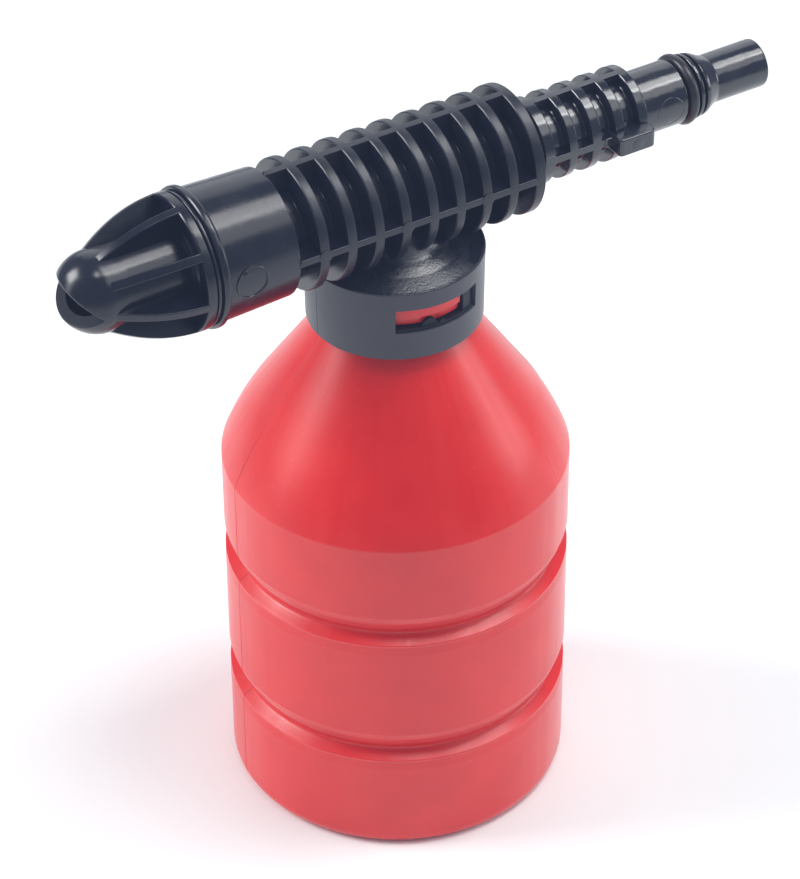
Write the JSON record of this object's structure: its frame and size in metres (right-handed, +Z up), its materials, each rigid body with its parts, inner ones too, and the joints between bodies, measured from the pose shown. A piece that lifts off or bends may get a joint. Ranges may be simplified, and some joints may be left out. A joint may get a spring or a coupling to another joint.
{
  "type": "foam sprayer bottle",
  "caption": "Pressure washer foam sprayer: a round belted bottle, a bayonet collar and a finned spray lance lying across it, with a turning fan nozzle and a push-in inlet.",
  "frame": {"origin": "on the bottle's axis, in the plane of its foot ring, 0.9 mm under the middle of the recessed base panel", "axes": "+Z up along the bottle's axis, +X along the lance towards the fan nozzle, -X towards the inlet"},
  "size_m": [0.2002, 0.09, 0.1973],
  "materials": {
    "bottle_red": "satin blown polyethylene",
    "body_black": "semi-gloss glass-filled plastic, moulded",
    "seal_rubber": "smooth moulded rubber",
    "jet_brass": "turned",
    "acetal_white": "moulded natural acetal",
    "mesh_steel": "stainless wire and balls",
    "tube_milky": "milky extruded polyethylene"
  },
  "bodies": {
    "bottle": {"bottle": "bottle_red"},
    "lance": {"lance_housing": "body_black", "inlet_connector": "body_black", "nozzle_clip_ring": "body_black", "inlet_o_ring": "seal_rubber", "stem_o_ring": "seal_rubber", "collar_gasket": "seal_rubber", "jet_orifice": "jet_brass", "mixing_tube": "acetal_white", "foam_mesh": "mesh_steel", "mesh_retainer": "acetal_white", "suction_nipple": "acetal_white", "nipple_o_ring": "seal_rubber", "check_spring": "mesh_steel", "dip_tube": "tube_milky", "tube_strainer": "body_black", "vent_valve": "seal_rubber"},
    "nozzle": {"nozzle_cap": "body_black", "nozzle_o_ring": "seal_rubber"},
    "ball": {"check_ball": "mesh_steel"}
  },
  "joints": [
    {"name": "lance_twist", "type": "hinge", "parent": "bottle", "child": "lance", "pos_m": [0, 0, 0.153], "axis": [0, 0, 1], "range_deg": [0, 74]},
    {"name": "nozzle_turn", "type": "hinge", "parent": "lance", "child": "nozzle", "pos_m": [0.0576, 0, 0.1793], "axis": [1, 0, 0], "continuous": true},
    {"name": "ball_lift", "type": "slide", "parent": "lance", "child": "ball", "axis": [0, 0, 1], "range_m": [0, 0.0015], "stiffness_N_per_m": 15, "springref_m": -0.001, "deforming": ["check_spring"]}
  ]
}
